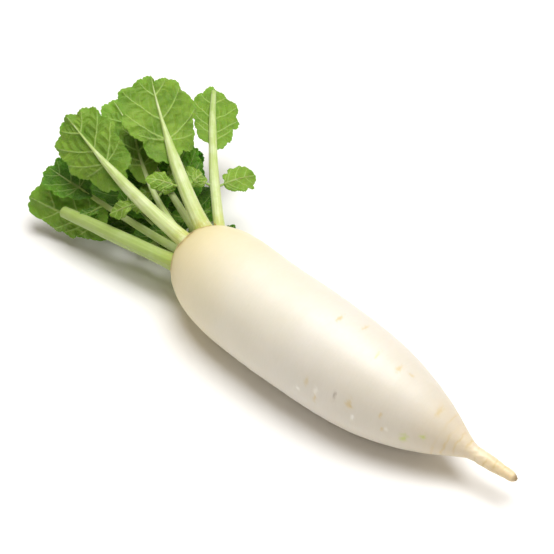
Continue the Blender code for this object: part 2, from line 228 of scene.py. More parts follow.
def square_to_disc(points):
    """Polar coordinates of a square grid's points, spread so that its border is a circle."""
    x, y = points[:, 0], points[:, 1]
    reach = np.maximum(np.abs(x), np.abs(y))
    side = np.abs(x) >= np.abs(y)
    safe_x = np.where(x == 0, 1e-9, x)
    safe_y = np.where(y == 0, 1e-9, y)
    angle = np.where(side, np.pi / 4 * y / safe_x, np.pi / 2 - np.pi / 4 * x / safe_y)
    angle = angle + np.where(np.where(side, x, y) < 0, np.pi, 0.0)
    return reach, angle


def root_line(count):
    """Rows of x, y, z, radius along the root's axis: shoulder, body, point and thin tail."""
    s = ROOT_LENGTH * (1 - np.cos(np.linspace(CROWN_FLAT, np.pi, count))) / 2
    ahead = np.clip(1 - s / DOME, 0, 1)
    beyond = np.clip((s - WAIST) / (POINT - WAIST), 0, 1)
    body = BODY_RADIUS * (1 - ahead ** SHOULDER_ROUNDNESS) ** (1 / SHOULDER_ROUNDNESS)
    body *= (1 - beyond ** TAPER_ROUNDNESS) ** TAPER_HOLLOW
    tail = TAIL_RADIUS * (1 + TAIL_FLARE * np.exp(-((s - POINT) / FLARE_LENGTH) ** 2)) * (s > WAIST)
    tail *= 1 - TIP_SHARPNESS * np.clip(1 + (s - ROOT_LENGTH) / TIP_ROUNDING, 0, 1) ** 3
    radius = (body ** 3 + tail ** 3) ** (1 / 3)
    z = BODY_RADIUS - SINK - CROWN_DROP * np.clip(1 - s / CROWN_BEND, 0, 1) ** 2
    z -= TAIL_DROP * (np.clip(s - TAIL_BEND, 0, None) / (ROOT_LENGTH - TAIL_BEND)) ** DROOP_CURVE
    y = BODY_Y + CROWN_BOW * np.clip(1 - s / WAIST, 0, 1) ** 2
    y += TAIL_BOW * (np.clip(s - WAIST, 0, None) / (ROOT_LENGTH - WAIST)) ** SWEEP_CURVE
    return np.column_stack([s + CROWN_X, y, z, radius])


def stalk_line(leaf, count=9):
    """Rows of x, y, z, radius along a stalk, from inside the crown to its tip."""
    base, tip = np.array((STALK_BASE_X, *leaf["base"]), float), np.array(leaf["tip"], float)
    middle = (base + tip) / 2 + 2 * np.array(leaf["bow"], float)
    t = np.linspace(0, 1, count)[:, None]
    thick, thin = leaf["thick"]
    radius = thin + (thick - thin) * (1 - t ** STALK_TAPER)
    return np.hstack([(1 - t) ** 2 * base + 2 * t * (1 - t) * middle + t ** 2 * tip, radius])


def rim_distance(blade, angle):
    """Distance from a blade's centre to its gently lobed rim at each angle."""
    ahead, behind, left, right = blade["reach"]
    along, across = np.cos(angle), np.sin(angle)
    long, wide = np.where(along > 0, ahead, behind), np.where(across > 0, left, right)
    power = np.where(along > 0, RIM_ROUNDNESS, BASE_ROUNDNESS)
    oval = (np.abs(along) / long) ** power + (np.abs(across) / wide) ** power
    return oval ** (-1 / power) * (1 + LOBE_DEPTH * np.cos(LOBES * angle + blade["start"]))


def leaflet_parts(leaf_midline, leaflet):
    """A leaflet's midline, from the side of the stalk to its tip, and its blade."""
    at, side, length = leaflet
    centre, tangent, normal, sideways, radius = (row[0] for row in leaf_midline.at(at * leaf_midline.length))
    base = centre + sideways * side * (radius + LEAFLET_CLEARANCE)
    tip = base + length * unit(sideways * side + LEAFLET_LEAN * tangent - LEAFLET_DIP * normal)
    middle = (base + tip) / 2 + normal * LEAFLET_ARCH
    midline = Midline([(*base, 0.0), (*middle, 0.0), (*tip, 0.0)], leaf_midline.face)
    half = midline.length / 2
    blade = {"start": 0, "centre": half,
             "reach": (half, half, LEAFLET_WIDTH * length, LEAFLET_WIDTH * length)}
    return midline, blade


def ripples(points, size, seed, count=14):
    """Smooth random relief from -1 to 1 at the points, with bumps about this many mm across."""
    random = np.random.default_rng(seed)
    directions = unit(random.normal(size=(count, points.shape[1])))
    lengths = size * random.uniform(0.7, 1.6, count)
    phases = random.uniform(0.0, 2 * np.pi, count)
    waves = np.sin(points @ directions.T * (2 * np.pi / lengths) / 1.6 + phases)
    return np.clip(waves.sum(axis=1) / (0.85 * np.sqrt(count)), -1.0, 1.0)


def bump(distance, width):
    return np.exp(-(distance / width) ** 2)


def smoothstep(low, high, values):
    t = np.clip((values - low) / (high - low), 0.0, 1.0)
    return t * t * (3 - 2 * t)


def mesh_object(name, points, faces, layers, skin):
    """A smooth-shaded piece from points in mm, with named float or vector layers on its points."""
    mesh = bpy.data.meshes.new(name)
    mesh.from_pydata((np.asarray(points) * MM).tolist(), [], [list(face) for face in faces])
    for layer, values in layers.items():
        values = np.asarray(values, np.float32)
        kind, field = ("FLOAT", "value") if values.ndim == 1 else ("FLOAT_VECTOR", "vector")
        mesh.attributes.new(layer, kind, "POINT").data.foreach_set(field, values.ravel())
    mesh.materials.append(skin)
    mesh.validate()
    mesh.shade_smooth()
    piece = bpy.data.objects.new(name, mesh)
    bpy.context.scene.collection.objects.link(piece)
    return piece


def skin_faces(rings, sides, first=0):
    """Quads over rings of points, one ring after the other."""
    ring, side = np.meshgrid(np.arange(rings - 1), np.arange(sides), indexing="ij")
    a = first + ring * sides + side
    b = first + ring * sides + (side + 1) % sides
    return np.stack([a, b, b + sides, a + sides], axis=-1).reshape(-1, 4).tolist()


def fan_faces(ring, sides, centre, flip):
    """Triangles from a ring of points to a centre point."""
    turn = [(ring + k, ring + (k + 1) % sides, centre) for k in range(sides)]
    return [face[::-1] for face in turn] if flip else turn


def adopt(piece, slot, *nodes):
    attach(piece, "root")
    if nodes:
        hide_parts(*nodes)


# ---- materials ----

def new_material(name):
    made = bpy.data.materials.new(name)
    made.use_nodes = True
    return made, made.node_tree, made.node_tree.nodes["Principled BSDF"]


def node(tree, kind, inputs=(), **settings):
    """Adds a shader node; inputs maps socket names or numbers to values or to other sockets."""
    made = tree.nodes.new(kind)
    for key, value in settings.items():
        setattr(made, key, value)
    for key, value in dict(inputs).items():
        if isinstance(value, bpy.types.NodeSocket):
            tree.links.new(value, made.inputs[key])
        else:
            made.inputs[key].default_value = value
    return made


def ramp(tree, value, stops, interpolation="LINEAR"):
    """A colour ramp's colour output; stops are (place, colour)."""
    made = node(tree, "ShaderNodeValToRGB", {0: value})
    made.color_ramp.interpolation = interpolation
    elements = made.color_ramp.elements
    while len(elements) < len(stops):
        elements.new(0.5)
    for element, (place, colour) in zip(elements, stops):
        element.position = place
        element.color = (*colour, 1.0)
    return made.outputs[0]


def mixed(tree, factor, first, second, blend="MIX"):
    """Two colours mixed; either may be a socket or a plain colour."""
    made = node(tree, "ShaderNodeMix", {0: factor}, data_type="RGBA", blend_type=blend)
    for place, colour in ((6, first), (7, second)):
        if isinstance(colour, bpy.types.NodeSocket):
            tree.links.new(colour, made.inputs[place])
        else:
            made.inputs[place].default_value = (*colour, 1.0)
    return made.outputs[2]


def maths(tree, operation, first, second=0.0, third=0.0):
    return node(tree, "ShaderNodeMath", {0: first, 1: second, 2: third}, operation=operation).outputs[0]


def spread(tree, value, low, high, to_low=0.0, to_high=1.0):
    """A value's range low to high stretched to another range, and clamped."""
    return node(tree, "ShaderNodeMapRange", {0: value, 1: low, 2: high, 3: to_low, 4: to_high}).outputs[0]


def noise(tree, vector, scale, detail=4.0, roughness=0.55):
    return node(tree, "ShaderNodeTexNoise", {"Vector": vector, "Scale": scale, "Detail": detail,
                                              "Roughness": roughness}).outputs[0]


def layer(tree, name, output=2):
    """A mesh layer's value: output 2 is a number, 1 a vector."""
    return node(tree, "ShaderNodeAttribute", attribute_name=name).outputs[output]


def scaled(tree, vector, factors):
    return node(tree, "ShaderNodeMapping", {"Vector": vector, "Scale": factors}).outputs[0]


def bumped(tree, height, strength, distance, *normal):
    """A bump's normal, laid over another normal if there is one."""
    inputs = {"Strength": strength, "Distance": distance, "Height": height}
    if normal:
        inputs["Normal"] = normal[0]
    return node(tree, "ShaderNodeBump", inputs).outputs[0]


def finish_skin(tree, shader, colour, normal, **settings):
    """Links a skin's colour and normal, and sets its plain values."""
    tree.links.new(colour, shader.inputs["Base Color"])
    tree.links.new(normal, shader.inputs["Normal"])
    for name, value in settings.items():
        shader.inputs[name.replace("_", " ")].default_value = value


def root_skin():
    made, tree, shader = new_material("daikon_root_skin")
    place = node(tree, "ShaderNodeTexCoord").outputs["Object"]
    along = layer(tree, "along")
    wander = maths(tree, "MULTIPLY_ADD", noise(tree, place, 22.0, 3.0), 0.06, -0.03)
    zone = maths(tree, "ADD", along, wander)
    base = ramp(tree, zone, (
        (0.0, (0.70, 0.56, 0.24)), (0.03, (0.76, 0.66, 0.38)), (0.10, (0.78, 0.70, 0.46)),
        (0.28, (0.76, 0.725, 0.61)), (0.50, (0.745, 0.715, 0.65)), (0.76, (0.72, 0.675, 0.59)),
        (0.845, (0.70, 0.62, 0.49)), (0.91, (0.80, 0.69, 0.50)), (0.97, (0.80, 0.66, 0.42))))
    cloud = spread(tree, noise(tree, place, 38.0, 5.0), 0.3, 0.7, 0.965, 1.0)
    grain = spread(tree, noise(tree, scaled(tree, layer(tree, "strip", 1), (900.0, 160.0, 160.0)), 1.0, 5.0),
                   0.35, 0.75, 1.0, 0.975)
    tone = maths(tree, "MULTIPLY", cloud, grain)
    warm = maths(tree, "POWER", tone, 1.6)
    grey = node(tree, "ShaderNodeCombineColor", {0: tone, 1: tone, 2: warm}).outputs[0]
    colour = mixed(tree, 1.0, base, grey, "MULTIPLY")
    colour = mixed(tree, layer(tree, "stain"), colour, (0.66, 0.52, 0.24))
    colour = mixed(tree, layer(tree, "green"), colour, (0.55, 0.62, 0.16))
    colour = mixed(tree, layer(tree, "dark"), colour, (0.13, 0.065, 0.02))
    colour = mixed(tree, layer(tree, "pale"), colour, (0.93, 0.91, 0.84))
    fine = noise(tree, scaled(tree, layer(tree, "strip", 1), (700.0, 220.0, 220.0)), 1.0, 6.0, 0.6)
    pores = noise(tree, place, 420.0, 3.0)
    relief = bumped(tree, pores, 0.12, 0.0004, bumped(tree, fine, 0.10, 0.0006))
    finish_skin(tree, shader, colour, relief, Roughness=0.46, Specular_IOR_Level=0.7, Subsurface_Weight=0.25,
                Subsurface_Radius=(1.0, 0.75, 0.45), Subsurface_Scale=0.006)
    return made


def stalk_skin():
    made, tree, shader = new_material("daikon_leaf_stalk")
    place = node(tree, "ShaderNodeTexCoord").outputs["Object"]
    strip = layer(tree, "strip", 1)
    along = maths(tree, "ADD", layer(tree, "along"),
                  maths(tree, "MULTIPLY_ADD", noise(tree, place, 60.0, 3.0), 0.16, -0.08))
    base = ramp(tree, along, (
        (0.0, (0.46, 0.42, 0.08)), (0.10, (0.52, 0.54, 0.15)), (0.22, (0.54, 0.63, 0.27)),
        (0.55, (0.49, 0.59, 0.22)), (0.8, (0.42, 0.54, 0.17)), (1.0, (0.30, 0.45, 0.10))))
    fibres = noise(tree, scaled(tree, strip, (60.0, 1400.0, 1400.0)), 1.0, 4.0)
    colour = mixed(tree, spread(tree, fibres, 0.42, 0.68, 0.0, 0.55), base, (0.66, 0.74, 0.42))
    blotch = spread(tree, noise(tree, place, 90.0, 4.0), 0.46, 0.66, 0.0, 0.5)
    colour = mixed(tree, blotch, colour, (0.72, 0.79, 0.53))
    streaks = noise(tree, scaled(tree, strip, (45.0, 420.0, 420.0)), 1.0, 3.0)
    colour = mixed(tree, spread(tree, streaks, 0.50, 0.72, 0.0, 0.55), colour, (0.38, 0.55, 0.09))
    colour = mixed(tree, spread(tree, layer(tree, "furrow"), 0.2, 1.0, 0.0, 0.5), colour, (0.34, 0.50, 0.10))
    # Lower-lying stalks turn a darker green. This is partly their own deeper colour and partly painted shade
    # for their place under the rosette.
    colour = mixed(tree, layer(tree, "low"), colour, (0.27, 0.39, 0.075))
    colour = mixed(tree, layer(tree, "cut"), colour, (0.62, 0.72, 0.36))
    colour = mixed(tree, layer(tree, "rust"), colour, (0.47, 0.40, 0.06))
    colour = mixed(tree, layer(tree, "dark"), colour, (0.10, 0.06, 0.02))
    finish_skin(tree, shader, colour, bumped(tree, fibres, 0.35, 0.0005), Roughness=0.40,
                Specular_IOR_Level=0.35, Subsurface_Weight=0.3, Subsurface_Radius=(0.7, 1.0, 0.3),
                Subsurface_Scale=0.003)
    return made


def blade_skin():
    made, tree, shader = new_material("daikon_leaf_blade")
    sheet = layer(tree, "sheet", 1)
    outer = layer(tree, "outer")
    vein = layer(tree, "vein")
    patch = noise(tree, sheet, 55.0, 4.0)
    lower = ramp(tree, patch, ((0.3, (0.108, 0.208, 0.015)), (0.5, (0.166, 0.278, 0.025)),
                               (0.72, (0.230, 0.362, 0.042))))
    # The inner side is its own darker green. The ramp is also kept darker than that, as painted shade for
    # the crowded middle of the rosette.
    upper = ramp(tree, patch, ((0.3, (0.022, 0.080, 0.002)), (0.5, (0.052, 0.152, 0.004)),
                               (0.72, (0.120, 0.270, 0.009))))
    colour = mixed(tree, outer, upper, lower)
    cells = node(tree, "ShaderNodeTexVoronoi", {"Vector": sheet, "Scale": 420.0, "Randomness": 1.0},
                 feature="DISTANCE_TO_EDGE").outputs["Distance"]
    net = spread(tree, cells, 0.02, 0.14, 1.0, 0.0)
    small = node(tree, "ShaderNodeTexVoronoi", {"Vector": sheet, "Scale": 1100.0, "Randomness": 1.0},
                 feature="DISTANCE_TO_EDGE").outputs["Distance"]
    finer = spread(tree, small, 0.02, 0.2, 1.0, 0.0)
    colour = mixed(tree, maths(tree, "MULTIPLY", finer, 0.10), colour, (0.22, 0.36, 0.07))
    colour = mixed(tree, maths(tree, "MULTIPLY", net, 0.16), colour, (0.24, 0.38, 0.08))
    colour = mixed(tree, spread(tree, vein, 0.1, 1.1), colour, (0.40, 0.54, 0.17))
    # Rims are mixed towards a mid green, which lightens the dark inner side: painted light on the curled
    # margins.
    colour = mixed(tree, layer(tree, "edge"), colour, (0.16, 0.30, 0.04))
    gloss = spread(tree, noise(tree, sheet, 300.0, 2.0), 0.3, 0.7, 0.42, 0.60)
    tree.links.new(gloss, shader.inputs["Roughness"])
    height = maths(tree, "ADD", maths(tree, "MULTIPLY", net, 0.8), maths(tree, "MULTIPLY", finer, 0.35))
    finish_skin(tree, shader, colour, bumped(tree, height, 0.5, 0.0004), Specular_IOR_Level=0.22,
                Subsurface_Weight=0.5, Subsurface_Radius=(0.5, 1.0, 0.1), Subsurface_Scale=0.002)
    return made


def husk_skin():
    made, tree, shader = new_material("daikon_crown_scales")
    place = node(tree, "ShaderNodeTexCoord").outputs["Object"]
    colour = ramp(tree, noise(tree, place, 700.0, 5.0), (
        (0.3, (0.14, 0.06, 0.012)), (0.5, (0.38, 0.21, 0.05)), (0.7, (0.66, 0.46, 0.16))))
    finish_skin(tree, shader, colour, bumped(tree, noise(tree, place, 1500.0), 0.5, 0.0003), Roughness=0.7)
    return made


# ---- the root ----

def scars():
    """Side-root scars in rows along the lower half: place, angle, length, width, depth, colour."""
    random = np.random.default_rng(21)
    for row, count in ((168.0, 13), (88.0, 6), (348.0, 10), (238.0, 4)):
        for at in np.linspace(*SCARS_BETWEEN, count) + random.uniform(-5.0, 5.0, count):
            name = ("stain", "stain", "dark", "green", "pale")[random.integers(5)]
            yield (at, row + random.uniform(-14.0, 14.0), random.uniform(0.6, 1.8),
                   random.uniform(0.8, 3.6), random.uniform(0.12, 0.38), name, random.uniform(0.5, 0.9))


def crown_lift(points):
    """How far points near the crown are off the root's skin, in mm."""
    rows = root_line(ROOT_RINGS)
    y, z, radius = (np.interp(points[:, 0], rows[:, 0], rows[:, column]) for column in (1, 2, 3))
    out = np.hypot(points[:, 1] - y, points[:, 2] - z) - radius
    return np.where(points[:, 0] > rows[0, 0], out, np.maximum(out, rows[0, 0] - points[:, 0]))


def stalk_gap(points):
    """How far points are from the skin of the nearest stalk's base, in mm."""
    gap = np.full(len(points), 1e3)
    for leaf in LEAVES:
        for *place, radius in curve_through(stalk_line(leaf), STALK_STATIONS)[:NEAR_STATIONS]:
            gap = np.minimum(gap, np.linalg.norm(points - place, axis=1) - radius * (1.0 + BASE_FLARE))
    return gap


def make_root(skin):
    """The root: its stations with a crown collar, faint rings, root scars and a cut tail tip."""
    rows = root_line(ROOT_RINGS)
    tangents = unit(np.gradient(rows[:, :3], axis=0))
    sideways = unit(np.cross(tangents, (0.0, 0.0, 1.0))) * -1
    upwards = np.cross(tangents, sideways)
    turn = np.linspace(0.0, 2 * np.pi, ROOT_SIDES, endpoint=False)
    s = np.repeat(rows[:, 0] - CROWN_X, ROOT_SIDES)
    phi = np.tile(turn, ROOT_RINGS)
    radius = np.repeat(rows[:, 3], ROOT_SIDES)
    around = np.column_stack([s, radius * np.cos(phi), radius * np.sin(phi)])

    layers = {name: np.zeros(len(s)) for name in ("stain", "green", "dark", "pale")}
    body = smoothstep(14.0, 40.0, s) * smoothstep(262.0, 225.0, s)
    relief = 0.28 * ripples(around, 46.0, 1) * body
    relief += 0.05 * ripples(around * (1.0, 0.12, 0.12), 3.2, 2) * body
    relief += 0.05 * ripples(around * (1.0, 0.1, 0.1), 7.0, 3) * body
    for at, degrees, long, wide, depth, name, strength in scars():
        away = (np.degrees(phi) - degrees + 180.0) % 360.0 - 180.0
        across = np.radians(away) * radius
        ragged = 1.0 + 0.35 * ripples(around, 1.4, int(at))
        spot = bump(np.hypot((s - at) / long, across / wide) * ragged, 0.9)
        relief -= depth * spot
        layers[name] = np.maximum(layers[name], strength * np.clip(spot * 1.3, 0.0, 1.0))
    for number, at in enumerate(np.arange(RINGS_FROM, ROOT_LENGTH - 4.0, RING_GAP)):
        line = at + 0.9 * np.sin(phi + number) + 0.5 * ripples(around, 4.0, 40 + number)
        part = 0.55 + 0.45 * np.sin(phi * 2 + 1.7 * number)
        groove = bump(s - line, 0.55) * part
        relief -= 0.16 * groove - 0.10 * bump(s - line - 1.2, 0.8) * part
        layers["stain"] = np.maximum(layers["stain"], 0.8 * groove)
    tip = smoothstep(ROOT_LENGTH - 3.0, ROOT_LENGTH + 0.5, s + 0.8 * ripples(around, 3.0, 60))
    layers["dark"] = np.maximum(layers["dark"], 0.7 * tip)
    relief += 0.12 * ripples(around, 2.2, 61) * smoothstep(240.0, 262.0, s)

    ragged = 0.8 * ripples(around, 9.0, 70) + 0.3 * ripples(around, 2.0, 71)
    groove = bump(s - 5.2 - ragged, 0.9)
    relief += 0.5 * bump(s - 2.6 - ragged, 1.2) - 0.8 * groove
    relief -= 0.3 * bump(s - 9.0 - 1.3 * ragged, 0.8)
    layers["dark"] = np.maximum(layers["dark"], 0.75 * groove * (0.7 + 0.3 * ripples(around, 5.0, 72)))
    layers["stain"] = np.maximum(layers["stain"], 0.9 * smoothstep(10.0, 5.0, s - ragged))
    layers["green"] = np.maximum(layers["green"], 0.7 * smoothstep(4.2, 2.0, s - ragged))

    outward = np.repeat(sideways, ROOT_SIDES, axis=0) * np.cos(phi)[:, None]
    outward += np.repeat(upwards, ROOT_SIDES, axis=0) * np.sin(phi)[:, None]
    near = s < CROWN_STAIN
    gap = np.full(len(s), 1e3)
    gap[near] = stalk_gap((np.repeat(rows[:, :3], ROOT_SIDES, axis=0) + outward * radius[:, None])[near])
    gap += 0.5 * ripples(around, 2.5, 73)
    layers["stain"] = np.maximum(layers["stain"], smoothstep(6.0, 2.4, gap))
    contact = 0.75 * bump(gap - 1.2, 1.4) * (0.65 + 0.35 * ripples(around, 4.0, 74))
    layers["dark"] = np.maximum(layers["dark"], contact)
    relief -= 0.35 * bump(gap - 1.2, 1.2)
    points = np.repeat(rows[:, :3], ROOT_SIDES, axis=0) + outward * (radius + relief)[:, None]
    faces = skin_faces(ROOT_RINGS, ROOT_SIDES)
    crown_x = points[:ROOT_SIDES, 0].mean()
    extra, extra_faces = [], []
    count = len(points)
    following = np.roll(np.arange(ROOT_SIDES), -1)
    previous = 0
    for scale, out in ((0.8, 0.7), (0.55, 1.2), (0.3, 1.4)):
        inner = rows[0, :3] + outward[:ROOT_SIDES] * CROWN_END_RADIUS * scale
        inner[:, 0] = crown_x - out
        start = count + len(extra) * ROOT_SIDES
        extra.append(inner)
        extra_faces += [(previous + k, start + k, start + j, previous + j) for k, j in enumerate(following)]
        previous = start
    crown_centre = count + 6 * ROOT_SIDES
    last = (ROOT_RINGS - 1) * ROOT_SIDES
    previous = last
    end_out = outward[last:]
    for scale, out in ((0.86, 0.5), (0.62, 0.45), (0.3, 0.1)):
        start = count + len(extra) * ROOT_SIDES
        extra.append(rows[-1, :3] + tangents[-1] * out + end_out * rows[-1, 3] * scale)
        extra_faces += [(previous + j, start + j, start + k, previous + k) for k, j in enumerate(following)]
        previous = start
    centres = [rows[0, :3] - (1.5, 0.0, 0.0), rows[-1, :3]]
    extra_faces += fan_faces(count + 2 * ROOT_SIDES, ROOT_SIDES, crown_centre, True)
    extra_faces += fan_faces(previous, ROOT_SIDES, crown_centre + 1, False)
    points = np.vstack([points, *extra, *centres])
    points[:, 2] = np.maximum(points[:, 2], 0.0)
    added = len(points) - count
    place = np.arange(added)
    in_crown = (place < 3 * ROOT_SIDES) | (place == added - 2)
    cut = ((place >= 4 * ROOT_SIDES) & (place < 6 * ROOT_SIDES)) | (place == added - 1)
    layers["stain"] = np.concatenate([layers["stain"], 0.4 * in_crown])
    layers["green"] = np.concatenate([layers["green"], 0.8 * in_crown])
    layers["dark"] = np.concatenate([layers["dark"], 0.85 * ~(in_crown | cut)])
    layers["pale"] = np.concatenate([layers["pale"], 0.7 * cut])
    layers["along"] = (points[:, 0] - CROWN_X) / ROOT_LENGTH
    layers["strip"] = points * MM
    return mesh_object("root", points, faces + extra_faces, layers, skin)


# ---- stalks ----

def make_stalk(leaf, midline, skin):
    """A leaf's stalk and midrib: round and finely ribbed outside, flatter inside."""
    bare = "blade" not in leaf
    run = np.linspace(-STALK_ROOTING, midline.length, STALK_RINGS)
    place, tangent, normal, sideways, radius = midline.at(run)
    turn = np.linspace(0.0, 2 * np.pi, STALK_SIDES, endpoint=False)
    reach = run / midline.length
    blade_start = 2.0 if bare else leaf["blade"]["start"] / midline.length
    foot = bump(np.maximum(run, 0.0), 13.0)
    wide = np.outer(radius * (1.0 + 0.25 * foot), np.cos(turn))
    high = np.outer(radius, np.sin(turn))
    high = np.where(high > 0, high * (1.0 + BASE_FLARE * foot)[:, None], high)
    flat = np.interp(reach, (0.0, 0.25, min(blade_start, 0.99), 1.0),
                     (0.9, 0.72, 0.62, 0.62 if bare else 0.5))
    high = np.where(high < 0, high * flat[:, None], high)
    around = np.column_stack([np.repeat(run, STALK_SIDES), wide.ravel(), high.ravel()])
    ribbed = (smoothstep(0.02, 0.12, reach) * smoothstep(1.02, 0.7, reach))[:, None]
    ribs = np.cos(11 * turn + 0.4)[None, :] * np.where(np.sin(turn) > -0.3, 1.0, 0.3)[None, :]
    uneven = ripples(around * (0.25, 1.0, 1.0), 7.0, 5).reshape(wide.shape)
    swell = 1.0 + 0.022 * ribs * ribbed + 0.035 * uneven
    hollow = 0.16 * np.outer(radius, bump(turn - 1.5 * np.pi, 0.5)) * (0.3 + 0.7 * ribbed)
    points = place[:, None, :] + sideways[:, None, :] * (wide * swell)[..., None]
    points += normal[:, None, :] * (high * swell + hollow)[..., None]
    points = points.reshape(-1, 3)
    furrow = np.clip(-ribs * ribbed, 0.0, 1.0).ravel() * 0.6
    cut = np.zeros(len(points))
    dark = np.zeros(len(points))
    faces = skin_faces(STALK_RINGS, STALK_SIDES)
    count = len(points)
    ends = []
    for ring, scale, out in ((STALK_RINGS - 1, 0.82, 0.6), (STALK_RINGS - 1, 0.45, 0.7)):
        centre = place[ring]
        edge = points[ring * STALK_SIDES:(ring + 1) * STALK_SIDES]
        ends.append(centre + (edge - centre) * scale + tangent[ring] * out * min(radius[ring] / 2, 1.0))
    last = count - STALK_SIDES
    for start in (count, count + STALK_SIDES):
        faces += [(last + k, last + (k + 1) % STALK_SIDES, start + (k + 1) % STALK_SIDES, start + k)
                  for k in range(STALK_SIDES)]
        last = start
    faces += fan_faces(last, STALK_SIDES, count + 2 * STALK_SIDES, False)
    faces += fan_faces(0, STALK_SIDES, count + 2 * STALK_SIDES + 1, True)
    points = np.vstack([points, *ends, place[-1] + tangent[-1] * 0.5, place[0]])
    added = len(points) - count
    edge_cut = 0.9 if bare else 0.0
    cut = np.concatenate([cut, np.full(added, edge_cut)])
    dark = np.concatenate([dark, np.zeros(added)])
    if bare:
        spot = place[-1] + normal[-1] * 2.0 + sideways[-1] * 1.2
        dark = np.maximum(dark, 0.9 * bump(np.linalg.norm(points - spot, axis=1), 0.9))
    along = np.concatenate([np.repeat(reach, STALK_SIDES), np.full(added - 1, 1.0), (0.0,)])
    if bare:
        along *= 0.7
    lift = crown_lift(points) + 0.4 * ripples(points, 2.2, 75)
    rust = 0.8 * bump(np.maximum(lift, 0.0), 3.0)
    strip = np.vstack([around, np.tile(around[-1], (added, 1))]) * MM
    # How low the stalk lies sets how much darker green it gets: partly its own colour, partly painted shade
    # under the rosette.
    low = 0.75 * smoothstep(48.0, 30.0, np.full(len(points), midline.rows[:, 2].mean()))
    layers = {"along": along, "strip": strip, "furrow": np.concatenate([furrow, np.zeros(added)]),
              "cut": cut, "dark": dark, "low": low, "rust": rust}
    piece = mesh_object(leaf["name"] + "_stalk_skin", points, faces, layers, skin)
    adopt(piece, "leaf_stalk", leaf["name"] + "_stalk")


# ---- blades ----

def bent_line(start, end, bow, count=9):
    """Points on a shallow arc from start to end, bowed to its left by this fraction."""
    start, end = np.array(start, float), np.array(end, float)
    chord = end - start
    middle = (start + end) / 2 + bow * np.array((-chord[1], chord[0]))
    t = np.linspace(0.0, 1.0, count)[:, None]
    return (1 - t) ** 2 * start + 2 * t * (1 - t) * middle + t ** 2 * end


def side_veins(blade):
    """Pairs of side veins that leave the midrib at a slant: start along it, and angle."""
    for angle in VEIN_ANGLES:
        for side in (1, -1):
            end = rim_distance(blade, np.radians([angle * side]))[0] * VEIN_REACH
            along = end * math.cos(math.radians(angle)) - 1.1 * end * abs(math.sin(math.radians(angle)))
            yield max(along, -blade["centre"] * 0.95), angle * side


def vein_lines(blade, small):
    """Vein lines in the blade's plane: (points, width at the start, width at the end, strength)."""
    tip = rim_distance(blade, np.zeros(1))[0] * 0.94
    lines = [(np.linspace((-blade["centre"], 0.0), (tip, 0.0), 9), 1.3 if not small else 0.7, 0.35, 0.9)]
    for start, angle in side_veins(blade):
        far = rim_distance(blade, np.radians([angle]))[0] * VEIN_REACH
        end = (far * math.cos(math.radians(angle)), far * math.sin(math.radians(angle)))
        side = 1.0 if angle % 360.0 < 180.0 else -1.0
        line = bent_line((start, 0.0), end, 0.09 * side)
        length = np.linalg.norm(line[-1] - line[0])
        lines.append((line, 0.55 if not small else 0.40, 0.32 if not small else 0.28, 0.9))
        heading = math.atan2(*(line[-1] - line[0])[::-1])
        for number, t in enumerate(VEIN_FORKS):
            base = line[int(round(t * 8))]
            turn = side * math.radians(48) * (1 if number % 2 else -1)
            size = length * (0.46 - 0.3 * t)
            tip = base + size * np.array((math.cos(heading + turn), math.sin(heading + turn)))
            lines.append((bent_line(base, tip, -0.12 * side * (1 if number % 2 else -1), 5),
                          0.32 if not small else 0.25, 0.24, 0.42))
    return lines


def vein_strength(lines, flat):
    """At each flat point: how strong the nearest vein is, and how far away the nearest vein is."""
    strength = np.zeros(len(flat))
    nearest = np.full(len(flat), 1e3)
    for line, first, last, height in lines:
        widths = np.linspace(first, last, len(line) - 1)
        for a, b, width in zip(line[:-1], line[1:], widths):
            edge = b - a
            t = np.clip((flat - a) @ edge / (edge @ edge), 0.0, 1.0)
            away = np.linalg.norm(flat - a - t[:, None] * edge, axis=1)
            strength = np.maximum(strength, bump(away, width) * height * min(1.0, 0.5 + width))
            nearest = np.minimum(nearest, away)
    return strength, nearest


def blade_surface(midline, blade, reach, angle, small, seed):
    """The middle surface of a blade: outline with lobes and teeth, veins, puckers and a frilled rim."""
    lobes = np.abs(np.sin((7.0 if not small else 4.5) * angle + seed)) ** 0.7
    teeth = np.abs(np.sin((27.0 if not small else 13.0) * angle + 2.0 * np.sin(3 * angle + seed))) ** 0.8
    outline = (0.075 if not small else 0.10) * (lobes - 0.6) + (0.028 if not small else 0.04) * (teeth - 0.5)
    spread_out = reach * rim_distance(blade, angle) * (1.0 + outline * reach ** 6)
    along = blade["centre"] + spread_out * np.cos(angle)
    across = spread_out * np.sin(angle)
    flat = np.column_stack([along - blade["centre"], across])
    place, _, normal, sideways, radius = midline.at(blade["start"] + along)
    strength, nearest = vein_strength(vein_lines(blade, small), flat)
    nearest = np.minimum(nearest, np.abs(across))
    depth = 0.55 * radius + FOLD * np.abs(across) + CUP * (across / 10) ** 2
    depth += WAVE * blade["reach"][0] / WAVE_REACH * reach ** 3 * np.sin(5 * angle + blade["start"])
    depth += (0.7 if not small else 0.35) * reach ** 5 * np.sin(13 * angle + seed)
    if small:
        depth += LEAFLET_CURL * reach ** 2 * np.sin(3 * angle + seed)
    puff = (1.0 if not small else 0.5) * (1.0 - bump(nearest, 2.2)) * (1.0 - 0.5 * reach ** 4)
    depth += puff + (0.35 if not small else 0.2) * ripples(flat, 4.5, seed)
    depth += 0.5 * ripples(flat, 16.0, seed + 1)
    points = place + sideways * across[:, None] - normal * depth[:, None]
    return points, normal, strength, flat


